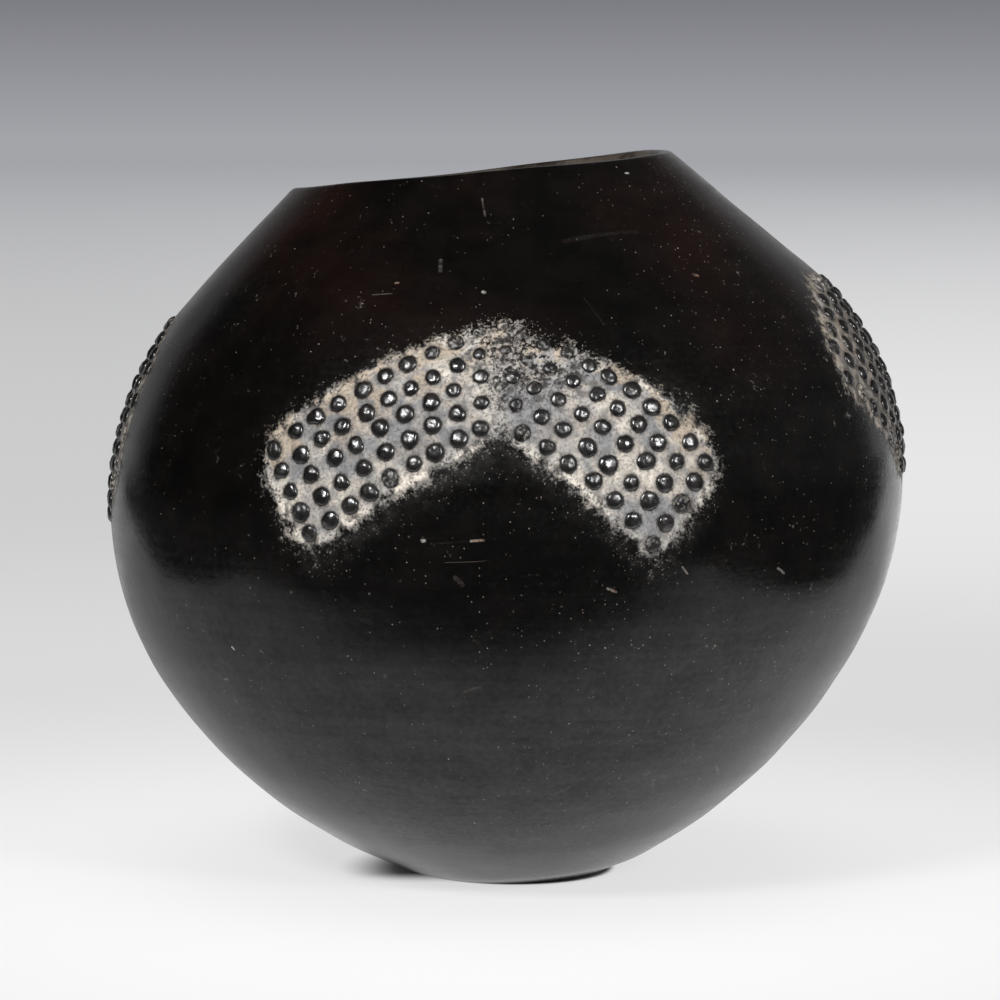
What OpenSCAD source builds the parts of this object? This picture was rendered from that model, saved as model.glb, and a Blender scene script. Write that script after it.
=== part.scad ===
// Leaning clay beer pot, built up from a base pad and rings of coil, with panels of applied pellets.
// The origin is the centre of the flat foot, +Z is up and the front chevron faces -Y.
// Heights along the wall are surface distances from the widest ring, positive toward the mouth.

/* [Body] */
// Outer width at the widest ring
belly_w = 300; // [285:1:320]
// Height of the widest ring above the foot, along the pot's own axis
belly_z = 146; // [141:1:151]
// Outer width at the mouth
mouth_w = 144; // [126:1:162]
// Width of the flat foot, before the lean
foot_w = 68; // [58:1:80]
// Radius of the shoulder's curve
shoulder_r = 107; // [98:1:116]
// Slope of the straight upper shoulder from the vertical
shoulder_slope = 46.5; // [42:0.5:51]
// Radius of the belly's curve below the widest ring
lower_r = 122; // [116:1:128]
// Sweep of that curve, before the flatter curve that runs down to the foot
lower_sweep = 30; // [26:1:34]
// Lean of the pot's axis toward -X
lean = 5; // [0:0.5:7]

/* [Wall] */
// Thickness of the wall
wall = 8; // [6.5:0.5:10]
// Thickness of the base under the hollow, on the pot's axis
base_thick = 12; // [9:0.5:18]
// Surface distance from the foot's edge up to the joint of the base pad
base_rise = 40; // [25:1:55]
// Angle of the coil joints from square across the wall, falling inward
joint_slope = 25; // [0:1:40]

/* [Pellets] */
// Width of a pellet where it meets the wall
pellet_w = 6.2; // [5:0.1:6.6]
// Height of a pellet above the wall
pellet_h = 1.3; // [1.2:0.1:3]
// Spacing of the pellets along a row
pellet_pitch = 9.4; // [9.2:0.1:10.5]
// Spacing of the rows
row_pitch = 8.6; // [8.4:0.1:9.6]
// How far the hand strays from the pellet grid, each way
hand_stray = 0.5; // [0:0.1:0.6]
// Share by which pellets vary in size, each way
size_stray = 0.05; // [0:0.01:0.06]

/* [Chevrons] */
// Rows of pellets across an arm
chevron_rows = 5; // [3:1:6]
// Mean slope of the arms on the wall
chevron_slope = 34; // [28:0.5:40]
// Length of an arm along its middle row
arm_l = 86; // [60:1:94]
// Length of the front chevron's right arm, which is shorter than the others
short_arm_l = 81; // [60:1:94]
// How far an arm bows upward in the middle
arm_bow = 2.8; // [0:0.1:6]
// How far the front chevron's right arm bows upward in the middle
short_arm_bow = 5.5; // [0:0.1:6]
// Height of the middle row at the front chevron's peak
front_peak = 55.7; // [48:0.1:62]
// Turn of the front chevron about its peak, right arm down
front_turn = 7.5; // [-12:0.5:12]
// Angle round the pot to the front chevron, from -Y toward +X
front_angle = 0; // [-5:0.5:5]
// Height of the middle row at the back chevron's peak
back_peak = 54; // [48:1:62]
// Turn of the back chevron about its peak, right arm down
back_turn = -4; // [-12:0.5:12]
// Angle round the pot to the back chevron
back_angle = 178; // [174:0.5:186]

/* [Side panels] */
// Slope of the diagonal rows on the wall
side_slope = 42; // [40:0.5:47]
// Grid steps from a panel's middle up to its top edge and down to its bottom edge
side_rise = 6; // [4:1:6]
// Grid steps along a panel's middle, from point to point
side_steps = 18; // [14:2:20]
// Grid steps that are missing at each point of the right panel
right_blunt = 1; // [0:1:4]
// Grid steps that are missing at each point of the left panel
left_blunt = 3; // [0:1:4]
// Grid steps from the right panel's middle up to the height of its points
right_tip = 1; // [-1:1:1]
// Grid steps from the left panel's middle up to the height of its points
left_tip = 0; // [-1:1:1]
// Height of the right panel's middle
right_mid = 36; // [34:0.5:46]
// Height of the left panel's middle
left_mid = 43; // [34:0.5:46]
// Angle round the pot to the right panel
right_angle = 83.5; // [80:0.5:92]
// Angle round the pot to the left panel
left_angle = 268.5; // [266:0.5:278]

/* [Hidden] */
$fn = 96;

COILS = [
    "lower_coil_1", "lower_coil_2", "lower_coil_3", "lower_coil_4",
    "belly_coil_1", "belly_coil_2", "belly_coil_3",
    "shoulder_coil_1", "shoulder_coil_2", "shoulder_coil_3",
    "rim_coil"
];
PELLETS = [
    "front_left_arm_pellets", "front_right_arm_pellets",
    "back_left_arm_pellets", "back_right_arm_pellets",
    "right_side_pellets", "left_side_pellets"
];

clay = [0.09, 0.08, 0.08];
inner_clay = [0.16, 0.13, 0.11];
pellet_clay = [0.05, 0.05, 0.05];

// Room by which cutting shapes run past the wall, outward and inward
past_out = 12;
past_in = 32;
// A size beyond the whole pot
far = 2 * belly_w;
// Plain radius that turns surface widths into angles round the pot
layout_r = 146;
// Distance of a row's first pellet from the chevron's mitre, as a share of the spacing along a row
mitre_gap = 0.65;

// Profile in the pot's own frame, where x is the radius and y the height above the widest ring
belly_r = belly_w / 2;
mouth_r = mouth_w / 2;
foot_r = foot_w / 2;
shoulder_x = belly_r - shoulder_r;
lower_x = belly_r - lower_r;

// Added radius of the curve that goes on smoothly from an arc of radius r about [lower_x, 0],
// at lower_sweep below the level, and passes the point at radius x and depth y
function flatter_by(r, x, y) =
    ((x - lower_x) ^ 2 + y ^ 2 - r ^ 2)
    / (2 * (r - (x - lower_x) * cos(lower_sweep) - y * sin(lower_sweep)));
foot_add = flatter_by(lower_r, foot_r, belly_z);
inner_add = flatter_by(lower_r - wall, 0, belly_z - base_thick);
function flatter_centre(add) = [lower_x - add * cos(lower_sweep), add * sin(lower_sweep)];
foot_arc_r = lower_r + foot_add;
foot_arc = flatter_centre(foot_add);

// Surface lengths of the profile's stretches
arc_deg = PI / 180;
shoulder_l = shoulder_r * shoulder_slope * arc_deg;
shoulder_end_r = shoulder_x + shoulder_r * cos(shoulder_slope);
straight_l = (shoulder_end_r - mouth_r) / sin(shoulder_slope);
lower_l = lower_r * lower_sweep * arc_deg;
foot_edge = asin((belly_z + foot_arc[1]) / foot_arc_r);
foot_l = foot_arc_r * (foot_edge - lower_sweep) * arc_deg;
rim_s = shoulder_l + straight_l;
base_s = base_rise - lower_l - foot_l;

// Angle of the wall's outward normal above the level, at surface height s
function wall_angle(s) =
    s >= 0 ? min(s / shoulder_r / arc_deg, shoulder_slope)
    : s >= -lower_l ? s / lower_r / arc_deg
    : -lower_sweep + (s + lower_l) / foot_arc_r / arc_deg;
function normal_at(s) = [cos(wall_angle(s)), sin(wall_angle(s))];
function upward_at(s) = [-sin(wall_angle(s)), cos(wall_angle(s))];
// Point of the outer profile at surface height s
function wall_at(s) =
    s > shoulder_l ? [shoulder_x, 0] + shoulder_r * normal_at(s) + (s - shoulder_l) * upward_at(s)
    : s >= 0 ? [shoulder_x, 0] + shoulder_r * normal_at(s)
    : s >= -lower_l ? [lower_x, 0] + lower_r * normal_at(s)
    : foot_arc + foot_arc_r * normal_at(s);

// Sideways place of the foot's edge on the axis plane, with side 1 to the right and -1 to the left
foot_depth = belly_z + foot_arc[1];
function foot_reach(side) =
    let (b = foot_arc[0] - side * foot_depth * tan(lean))
    let (c = foot_arc[0] ^ 2 + foot_depth ^ 2 - foot_arc_r ^ 2)
    (b + sqrt(b ^ 2 - c / cos(lean) ^ 2)) * cos(lean);
foot_shift = (foot_reach(-1) - foot_reach(1)) / 2;

// Coil joints, evenly spaced up the wall from the base pad to the rim
coil_l = (rim_s - base_s) / len(COILS);
function joint_s(i) = base_s + i * coil_l;
function joint_inward(i) =
    -normal_at(joint_s(i)) * cos(joint_slope) - upward_at(joint_s(i)) * sin(joint_slope);
function joint_outer_end(i) = wall_at(joint_s(i)) - past_out * joint_inward(i);
function joint_inner_end(i) = wall_at(joint_s(i)) + past_in * joint_inward(i);

// Wedge about the origin from angle a to angle b
module wedge(a, b) {
    mid = (a + b) / 2;
    polygon([[0, 0], far * [cos(a), sin(a)], far * [cos(mid), sin(mid)], far * [cos(b), sin(b)]]);
}

// Ring of the wall's thickness with the outer radius r, from angle a to angle b
module curved_wall(r, a, b) {
    intersection() {
        difference() {
            circle(r = r);
            circle(r = r - wall);
        }
        wedge(a, b);
    }
}

// Bottom of the wall, thickening toward the axis
module bottom_section() {
    intersection() {
        difference() {
            translate(foot_arc) circle(r = foot_arc_r);
            translate(flatter_centre(inner_add)) circle(r = lower_r - wall + inner_add);
        }
        translate([lower_x, 0]) wedge(-90 - lower_sweep, -lower_sweep);
        translate([0, -far]) square(far);
    }
}

// Straight shoulder with a round lip
module straight_section() {
    start = wall_at(shoulder_l);
    end = wall_at(rim_s);
    inward = -wall * normal_at(rim_s);
    polygon([start, end, end + inward, start + inward]);
    translate(end + inward / 2) circle(d = wall);
}

// Lozenge across the wall that joins the two stretches meeting at surface height s
module stretch_join(s) {
    outer = wall_at(s);
    inner = outer - wall * normal_at(s);
    along = wall / 2 * upward_at(s);
    polygon([outer, (outer + inner) / 2 + along, inner, (outer + inner) / 2 - along]);
}

// Whole wall from the axis to the lip
module wall_section() {
    bottom_section();
    stretch_join(-lower_l);
    translate([lower_x, 0]) curved_wall(lower_r, -lower_sweep, 0);
    translate([shoulder_x, 0]) curved_wall(shoulder_r, 0, shoulder_slope);
    stretch_join(shoulder_l);
    straight_section();
}

// Stretch of the profile between two coil joints
module coil_band(i) {
    top_room = i == len(COILS) - 1 ? wall * upward_at(rim_s) : [0, 0];
    polygon([
        joint_outer_end(i), joint_inner_end(i),
        joint_inner_end(i + 1) + top_room, joint_outer_end(i + 1) + top_room
    ]);
}

// Stretch of the profile under the first joint
module base_band() {
    polygon([
        joint_outer_end(0), joint_inner_end(0), [0, joint_inner_end(0)[1]],
        [0, -far], [far, -far]
    ]);
}

// The pot's own frame, leaning over the centre of the foot
module stand() {
    translate([foot_shift, 0, 0]) rotate([0, -lean, 0]) translate([0, 0, belly_z]) children();
}

module base_pad() {
    color(clay) difference() {
        stand() rotate_extrude() intersection() {
            wall_section();
            base_band();
        }
        translate([-far / 2, -far / 2, -far]) cube(far);
    }
}

module coil(i) {
    color(i == len(COILS) - 1 ? inner_clay : clay) stand() rotate_extrude() intersection() {
        wall_section();
        coil_band(i);
    }
}

// Radius of the ball whose cap makes a pellet, and how deep its middle lies
ball_r = ((pellet_w / 2) ^ 2 + pellet_h ^ 2) / (2 * pellet_h);
ball_depth = ball_r - pellet_h;
// How far a pellet is pressed in, so that its flat underside meets the round wall at its edge
press_in = (pellet_w / 2) ^ 2 / (2 * shoulder_r);

// Pellet on the floor, enlarged by the share grow
module pellet(grow) {
    r = ball_r * (1 + grow);
    rotate_extrude() intersection() {
        translate([0, -ball_depth]) circle(r = r);
        translate([0, -press_in]) square(r);
    }
}

// Pellet on the wall, at the layout place p = [width to the right, surface height] round the angle a
module pellet_on_wall(p, a, grow) {
    foot = wall_at(p[1]);
    rotate(a + p[0] / layout_r / arc_deg)
    translate([0, -foot[0], foot[1]])
    rotate([90 - wall_angle(p[1]), 0, 0])
    pellet(grow);
}

// Pellets at the layout places, each off the grid by hand
module pellet_panel(places, a, seed) {
    count = len(places);
    across = rands(-hand_stray, hand_stray, count, seed);
    along = rands(-hand_stray, hand_stray, count, seed + 1);
    grow = rands(-size_stray, size_stray, count, seed + 2);
    color(pellet_clay) stand() for (k = [0 : count - 1]) {
        pellet_on_wall(places[k] + [across[k], along[k]], a, grow[k]);
    }
}

// Layout places of one chevron arm, on the side 1 to the right or -1 to the left of its peak.
// The rows start along a straight mitre below the peak and end square, so their spacing is evened out.
function arm_places(side, peak, turn, length, bow) =
    let (slope = chevron_slope + side * turn)
    let (out = [side * cos(slope), -sin(slope)])
    let (across = [side * sin(slope), cos(slope)])
    [
        for (row = [0 : chevron_rows - 1])
        let (off = (row - (chevron_rows - 1) / 2) * row_pitch)
        let (first = mitre_gap * pellet_pitch - off * tan(slope))
        let (steps = round((length - first) / pellet_pitch))
        for (k = [0 : steps])
        let (along = first + (length - first) * k / steps)
        let (share = max(along / length, 0))
        [0, peak] + along * out + (off + 4 * bow * share * (1 - share)) * across
    ];

// Layout places of a side panel, on a diagonal grid between a flat top edge and a flat bottom edge
function side_places(middle, tip, blunt) =
    let (step = pellet_pitch * [cos(side_slope), sin(side_slope)])
    [
        for (up = [-side_rise : side_rise])
        let (aside = abs(up - tip))
        let (first = max(aside, blunt + (blunt + aside) % 2))
        for (along = [first : 2 : side_steps - first])
        [(along - side_steps / 2) * step[0], middle + up * step[1]]
    ];

module front_left_arm_pellets() {
    pellet_panel(arm_places(-1, front_peak, front_turn, arm_l, arm_bow), front_angle, 11);
}

module front_right_arm_pellets() {
    pellet_panel(arm_places(1, front_peak, front_turn, short_arm_l, short_arm_bow), front_angle, 21);
}

module back_left_arm_pellets() {
    pellet_panel(arm_places(-1, back_peak, back_turn, arm_l, arm_bow), back_angle, 31);
}

module back_right_arm_pellets() {
    pellet_panel(arm_places(1, back_peak, back_turn, arm_l, arm_bow), back_angle, 41);
}

module right_side_pellets() {
    pellet_panel(side_places(right_mid, right_tip, right_blunt), right_angle, 51);
}

module left_side_pellets() {
    pellet_panel(side_places(left_mid, left_tip, left_blunt), left_angle, 61);
}

base_pad();
for (i = [0 : len(COILS) - 1]) {
    coil(i);
}
front_left_arm_pellets();
front_right_arm_pellets();
back_left_arm_pellets();
back_right_arm_pellets();
right_side_pellets();
left_side_pellets();
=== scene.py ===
"""Looks of a leaning, black burnished clay beer pot with panels of raised pellets.

Lengths are in metres and angles in radians. The pot's own frame has its origin in the middle of the
widest ring. Heights along the wall are surface distances from that ring, positive toward the mouth,
and psi is the angle round the pot from -Y toward +X.
"""

import math

import bpy
import numpy as np
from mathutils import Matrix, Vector


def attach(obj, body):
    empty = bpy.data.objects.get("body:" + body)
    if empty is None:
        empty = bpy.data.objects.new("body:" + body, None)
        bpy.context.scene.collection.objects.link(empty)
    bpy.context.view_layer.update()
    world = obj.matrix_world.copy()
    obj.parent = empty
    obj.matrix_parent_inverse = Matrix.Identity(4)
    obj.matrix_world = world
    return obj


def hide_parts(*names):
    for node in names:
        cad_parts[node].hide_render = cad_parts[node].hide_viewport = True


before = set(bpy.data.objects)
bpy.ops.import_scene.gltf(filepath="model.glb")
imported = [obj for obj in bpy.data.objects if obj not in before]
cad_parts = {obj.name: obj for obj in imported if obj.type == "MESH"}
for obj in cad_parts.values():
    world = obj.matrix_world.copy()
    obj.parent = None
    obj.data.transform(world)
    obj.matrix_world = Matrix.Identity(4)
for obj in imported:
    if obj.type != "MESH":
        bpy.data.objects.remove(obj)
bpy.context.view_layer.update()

# The wall's profile, as the solids have it
BELLY_R = 0.150
BELLY_Z = 0.146
MOUTH_R = 0.072
FOOT_R = 0.034
SHOULDER_R = 0.107
SHOULDER_SLOPE = math.radians(46.5)
LOWER_R = 0.122
LOWER_SWEEP = math.radians(30)
LEAN = math.radians(5)
WALL = 0.008
BASE_THICK = 0.012
BASE_RISE = 0.040
JOINT_SLOPE = math.radians(25)
COILS = (
    [f"lower_coil_{i}" for i in (1, 2, 3, 4)]
    + [f"belly_coil_{i}" for i in (1, 2, 3)]
    + [f"shoulder_coil_{i}" for i in (1, 2, 3)]
    + ["rim_coil"]
)
PELLET_NODES = [
    "front_left_arm_pellets", "front_right_arm_pellets",
    "back_left_arm_pellets", "back_right_arm_pellets",
    "right_side_pellets", "left_side_pellets",
]

# Unevenness left by the hand
SWAY = 0.0027
SWAY_CURL = 0.0009
RIM_TILT = math.radians(0.75)
RIM_WAVE = 0.0005
# Share of RIM_WAVE, count round the mouth and phase
RIM_WAVES = ((-1.6, 2, 0.0), (0.6, 3, 2.1), (0.3, 7, 0.0))
RIM_FADE = 0.055
BODY_UNEVEN = 0.0005
BURNISH_UNEVEN = 0.00003
COIL_UNEVEN = 0.0001
FINGER_UNEVEN = 0.0005
FOOT_FADE = 0.015

# Fineness of the meshes
AROUND = 480
ROWS_PER_COIL = 14
INNER_ROWS_PER_COIL = 8
FOOT_ROWS = 20
LIP_ROWS = 12
BOTTOM_ROWS = 36
FOOT_RINGS = (0.25, 0.5, 0.75, 0.92)
FOOT_HALVINGS = 40
JOINT_SAMPLES = 400
PROFILE_SAMPLES = 4000
SAME_POINT_DECIMALS = 6

# Pellets
PELLET_SEGMENTS = 24
PELLET_RINGS = 9
PELLET_H = 0.0013
PELLET_SEAT = 0.00025
PELLET_UNEVEN = 0.00008
PELLET_WIDTHS = (0.90, 1.0)
PELLET_HEIGHTS = (0.86, 1.1)
PELLET_TIP = 0.09
PELLET_FULLNESS = 2.6
PELLET_ROUNDNESS = 0.55
# Count round the pellet and usual size
PELLET_LOBES = ((2, 0.05), (3, 0.035), (5, 0.02))
LOBE_PHASES = (0, 7)
WORN_WIDTH = 0.3
WORN_HEIGHT = 0.45

# Dust on the panels and the pellets, and its wear
SKIN_MARKS = ("dust", "haze", "wear", "inside")
DUST_REACH = 0.0055
HAZE_REACH = 0.011
HAZE_ACROSS = 0.006
WEAR_REACH = 0.021
WEAR_BELOW = 0.010
WEAR_ASIDE = 0.011
EDGE_DUST = (2.2, 1.75)
PLAIN_GRIME = (0, 0.3)
EDGE_GRIME = (0.25, 0.7)
WORN_GRIME = 0.7
SIDE_GRIME = 0.25
# Reach of the painted shade that darkens the dust beside the pellets
PAINTED_SHADE_REACH = 0.006
GRAIN_DEPTH = 0.00012
PELLET_IOR = 1.8

# Camera
CAMERA_AT = (-0.0060, -1.5, 0.2781)
CAMERA_DOWN = math.radians(5.216)
LENS = 142.62
SENSOR = 36


def rgb(red, green, blue):
    return (red, green, blue, 1.0)


# Colours of the clay
BLACK_CLAY = rgb(0.0022, 0.0020, 0.0018)
BROWN_CLAY = rgb(0.0042, 0.0035, 0.0030)
RED_CLAY = rgb(0.017, 0.006, 0.0045)
TAN_SCUFF = rgb(0.28, 0.19, 0.14)
GREY_SCUFF = rgb(0.38, 0.36, 0.33)
DARK_RAW = rgb(0.028, 0.019, 0.014)
PALE_RAW = rgb(0.060, 0.042, 0.031)
RAW_SPECK = rgb(0.16, 0.12, 0.09)
WORN_LIP = rgb(0.10, 0.083, 0.067)
BLACK_PELLET = rgb(0.0060, 0.0055, 0.0052)
BROWN_PELLET = rgb(0.014, 0.011, 0.010)

# Colours of the dust
DULL_ASH = rgb(0.45, 0.425, 0.395)
BRIGHT_ASH = rgb(0.80, 0.73, 0.63)
GREY_DUST = rgb(0.28, 0.282, 0.288)
TAN_DUST = rgb(0.50, 0.41, 0.31)
SIDE_DUST = rgb(0.17, 0.137, 0.11)
SOOTY_DUST = rgb(0.085, 0.074, 0.064)
# Painted shade on the dust beside the pellets
PAINTED_SHADE_DUST = rgb(0.022, 0.020, 0.019)
SOOTY_PELLET = rgb(0.045, 0.039, 0.034)
DUST_FILM = rgb(0.030, 0.028, 0.026)

# Colours of the stage
WHITE = rgb(1.0, 1.0, 1.0)
FLOOR_PAINT = rgb(0.92, 0.92, 0.92)
# Painted falloff of light on the floor's glow, dimming away from the pot, more on the left
FLOOR_FALLOFF_MIDDLE = rgb(0.72, 0.72, 0.72)
FLOOR_FALLOFF_LEFT = rgb(0.61, 0.61, 0.61)
FLOOR_FALLOFF_RIGHT = rgb(0.80, 0.80, 0.80)
HORIZON = rgb(0.37, 0.375, 0.40)
SKY = rgb(0.20, 0.20, 0.225)
BACKDROP_LEFT = rgb(0.36, 0.36, 0.37)
BACKDROP_RIGHT = rgb(0.48, 0.48, 0.49)
STUDIO_LEFT = rgb(0.0, 0.0, 0.0)
STUDIO_RIGHT = rgb(0.05, 0.05, 0.05)
STUDIO_FAR_RIGHT = rgb(0.09, 0.09, 0.09)
STUDIO_LIGHT = rgb(0.32, 0.32, 0.33)

# The floor, of which reflections see a pale sheet
FLOOR_REACH = 80.0
SHADOWLESS = 0.66
SHEET_FRONT = -0.19
SHEET_BACK = (0.3, 0.8)
SHEET_SLANT = 0.3
SHEET_MIDDLE = -0.06
SHEET_SIDE = 0.40
SHEET_FLARES = (0.6, 0.8)
SHEET_FADE = 0.1
DIM_LEFT = 0.42
DIM_MIDDLE = 0.15
DIM_RIGHT = 0.25
STUDIO_DARK = 0.035

# Name, place, size and power of each lamp, and whether the pot mirrors it
LAMPS = (
    ("key", (-0.663, -1.149, 1.085), 0.34, 14, True),
    ("fill", (0.872, -1.2, 0.789), 0.3, 9, True),
    ("top", (0.0, -0.2, 1.7), 1.4, 8, False),
)

# Single marks in the clay: two ends, each a surface height and degrees round the pot, half-width and strength
STROKES = (
    ((-0.0039, -4.75), (-0.0039, -3.1), 0.0006, 0.7),
    ((-0.0039, -10.2), (-0.0039, -5.4), 0.0003, 0.03),
    ((-0.0026, -11.3), (-0.0026, -11.0), 0.0008, 1.0),
    ((0.0823, 15.8), (0.0694, 17.6), 0.0003, 0.06),
    ((0.1425, 43.0), (0.1425, 43.7), 0.0007, 1.0),
    ((0.1365, -0.2), (0.1275, 0.2), 0.0005, 0.2),
    ((0.1080, -9.4), (0.1025, -9.2), 0.0009, 0.15),
    ((0.0905, -1.2), (0.0900, -0.9), 0.0008, 0.9),
    ((0.0875, 38.7), (0.0870, 39.2), 0.0010, 0.6),
    ((0.0985, -17.7), (0.0985, -17.3), 0.0007, 0.6),
    ((0.0935, -21.7), (0.0935, -18.0), 0.0004, 0.15),
    ((0.1110, 16.1), (0.1120, 33.0), 0.0016, 0.025),
    ((-0.0250, 13.1), (-0.0265, 14.2), 0.0006, 0.7),
    ((-0.0205, 23.7), (-0.0232, 24.5), 0.0005, 0.5),
    ((-0.0265, 39.7), (-0.0288, 41.0), 0.0006, 0.5),
    ((-0.0165, -7.2), (-0.0190, -6.4), 0.0012, 0.08),
    ((-0.0608, -7.9), (-0.0590, -5.4), 0.0008, 0.08),
    ((-0.1138, 6.4), (-0.1100, 9.9), 0.0004, 0.15),
    ((-0.1140, 42.6), (-0.1180, 44.7), 0.0005, 0.4),
    ((-0.0398, -44.4), (-0.0405, -44.2), 0.0006, 0.9),
)


# Profile

def flatter_by(r, x, y):
    """Added radius of the arc that goes on smoothly below LOWER_SWEEP and passes radius x at depth y."""
    reach = (x - LOWER_X) * math.cos(LOWER_SWEEP) + y * math.sin(LOWER_SWEEP)
    return ((x - LOWER_X) ** 2 + y ** 2 - r ** 2) / (2 * (r - reach))


def flatter_centre(add):
    return np.array([LOWER_X - add * math.cos(LOWER_SWEEP), add * math.sin(LOWER_SWEEP)])


SHOULDER_X = BELLY_R - SHOULDER_R
LOWER_X = BELLY_R - LOWER_R
FOOT_ADD = flatter_by(LOWER_R, FOOT_R, BELLY_Z)
INNER_ADD = flatter_by(LOWER_R - WALL, 0, BELLY_Z - BASE_THICK)
FOOT_ARC = flatter_centre(FOOT_ADD)
FOOT_ARC_R = LOWER_R + FOOT_ADD
INNER_ARC = flatter_centre(INNER_ADD)
INNER_ARC_R = LOWER_R - WALL + INNER_ADD
SHOULDER_L = SHOULDER_R * SHOULDER_SLOPE
RIM_S = SHOULDER_L + (
    SHOULDER_X + SHOULDER_R * math.cos(SHOULDER_SLOPE) - MOUTH_R
) / math.sin(SHOULDER_SLOPE)
LOWER_L = LOWER_R * LOWER_SWEEP
FOOT_DEPTH = BELLY_Z + FOOT_ARC[1]
FOOT_S = -LOWER_L - FOOT_ARC_R * (math.asin(FOOT_DEPTH / FOOT_ARC_R) - LOWER_SWEEP)
BASE_S = FOOT_S + BASE_RISE
COIL_L = (RIM_S - BASE_S) / len(COILS)
# Where the inner surface crosses the axis
AXIS_S = -LOWER_L + (LOWER_SWEEP - math.acos(-INNER_ARC[0] / INNER_ARC_R)) * INNER_ARC_R


def wall_angle(s, bottom_r=FOOT_ARC_R):
    """Angle of the outward normal above the level."""
    upper = np.minimum(s / SHOULDER_R, SHOULDER_SLOPE)
    lower = np.where(s >= -LOWER_L, s / LOWER_R, -LOWER_SWEEP + (s + LOWER_L) / bottom_r)
    return np.where(s >= 0, upper, lower)


def outer_profile(s):
    """Radius and height of the outer surface."""
    a = wall_angle(s)
    straight = np.maximum(s - SHOULDER_L, 0)
    upper_r = SHOULDER_X + SHOULDER_R * np.cos(a) - straight * math.sin(SHOULDER_SLOPE)
    upper_h = SHOULDER_R * np.sin(a) + straight * math.cos(SHOULDER_SLOPE)
    below = s < -LOWER_L
    lower_r = np.where(below, FOOT_ARC[0] + FOOT_ARC_R * np.cos(a), LOWER_X + LOWER_R * np.cos(a))
    lower_h = np.where(below, FOOT_ARC[1] + FOOT_ARC_R * np.sin(a), LOWER_R * np.sin(a))
    return np.where(s >= 0, upper_r, lower_r), np.where(s >= 0, upper_h, lower_h)


def inner_profile(s):
    """Radius and height of the inner surface, which thins out to the bottom's own arc under LOWER_SWEEP."""
    a = wall_angle(s, INNER_ARC_R)
    r, h = outer_profile(np.maximum(s, -LOWER_L))
    r = r - WALL * np.cos(a)
    h = h - WALL * np.sin(a)
    below = s < -LOWER_L
    return (
        np.where(below, INNER_ARC[0] + INNER_ARC_R * np.cos(a), r),
        np.where(below, INNER_ARC[1] + INNER_ARC_R * np.sin(a), h),
    )


def foot_reach(side):
    """Sideways place of the foot's edge on the axis plane, with side 1 to the right and -1 to the left."""
    b = FOOT_ARC[0] - side * FOOT_DEPTH * math.tan(LEAN)
    c = FOOT_ARC[0] ** 2 + FOOT_DEPTH ** 2 - FOOT_ARC_R ** 2
    return (b + math.sqrt(b ** 2 - c / math.cos(LEAN) ** 2)) * math.cos(LEAN)


FOOT_SHIFT = (foot_reach(-1) - foot_reach(1)) / 2


def stand(points):
    """From the pot's own frame to the leaning pot on the floor."""
    x, y, z = points[..., 0], points[..., 1], points[..., 2] + BELLY_Z
    cos, sin = math.cos(LEAN), math.sin(LEAN)
    return np.stack([x * cos - z * sin + FOOT_SHIFT, y, x * sin + z * cos], -1)


def unstand(points):
    """From the leaning pot on the floor to the pot's own frame."""
    x, y, z = points[..., 0] - FOOT_SHIFT, points[..., 1], points[..., 2]
    cos, sin = math.cos(LEAN), math.sin(LEAN)
    return np.stack([x * cos + z * sin, y, z * cos - x * sin - BELLY_Z], -1)


# Uneven surface

def smooth_step(low, high, value):
    t = np.clip((value - low) / (high - low), 0, 1)
    return t * t * (3 - 2 * t)


class Waves:
    """Random waves that add up to a smooth, seamless unevenness of about unit size."""

    def __init__(self, seed, shortest, longest, count):
        rng = np.random.default_rng(seed)
        direction = rng.normal(size=(count, 3))
        direction /= np.linalg.norm(direction, axis=1, keepdims=True)
        length = np.exp(rng.uniform(math.log(shortest), math.log(longest), count))
        self.vectors = (direction * (2 * math.pi / length)[:, None]).T
        self.phases = rng.uniform(0, 2 * math.pi, count)

    def at(self, points):
        return np.cos(points @ self.vectors + self.phases).sum(-1) * math.sqrt(2 / len(self.phases))


BODY_WAVES = Waves(3, 0.11, 0.32, 24)
BURNISH_WAVES = Waves(4, 0.014, 0.045, 40)
COIL_WAVES = Waves(5, 0.08, 0.20, 16)
FINGER_WAVES = Waves(6, 0.018, 0.06, 40)
PELLET_WAVES = Waves(8, 0.002, 0.006, 30)


def turned(r, h, psi):
    return np.stack([r * np.sin(psi), -r * np.cos(psi), h + 0 * psi], -1)


def outer_bulge(s, points):
    """How far the hand-built outer surface stands proud of the plain profile."""
    ridges = np.cos(2 * math.pi * (s - BASE_S) / COIL_L) * (1 + COIL_WAVES.at(points)) / 2
    bulge = (
        BODY_UNEVEN * BODY_WAVES.at(points)
        + BURNISH_UNEVEN * BURNISH_WAVES.at(points)
        + COIL_UNEVEN * ridges
    )
    return bulge * smooth_step(FOOT_S, FOOT_S + FOOT_FADE, s)


def rim_lift(s, psi):
    """Extra height near the mouth, where the rim tilts more than the pot and waves a little."""
    wave = sum(share * np.sin(count * psi + phase) for share, count, phase in RIM_WAVES)
    lift = MOUTH_R * math.tan(RIM_TILT) * np.sin(psi) + RIM_WAVE * wave
    return lift * smooth_step(RIM_S - RIM_FADE, RIM_S, s)


def on_floor(points):
    """From the pot's own frame to the floor's, with the pot's slight sway."""
    placed = stand(points)
    level = np.clip(placed[..., 2] / BELLY_Z - 1, -1, 1)
    placed[..., 0] += SWAY * level + SWAY_CURL * (1 - level ** 2)
    return placed


def outer_surface(s, psi, lift=0.0):
    """Point of the uneven outer surface, or at a lift above it."""
    r, h = outer_profile(s)
    a = wall_angle(s)
    out = outer_bulge(s, turned(r, h, psi)) + lift
    return on_floor(turned(r + out * np.cos(a), h + out * np.sin(a) + rim_lift(s, psi), psi))


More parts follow.
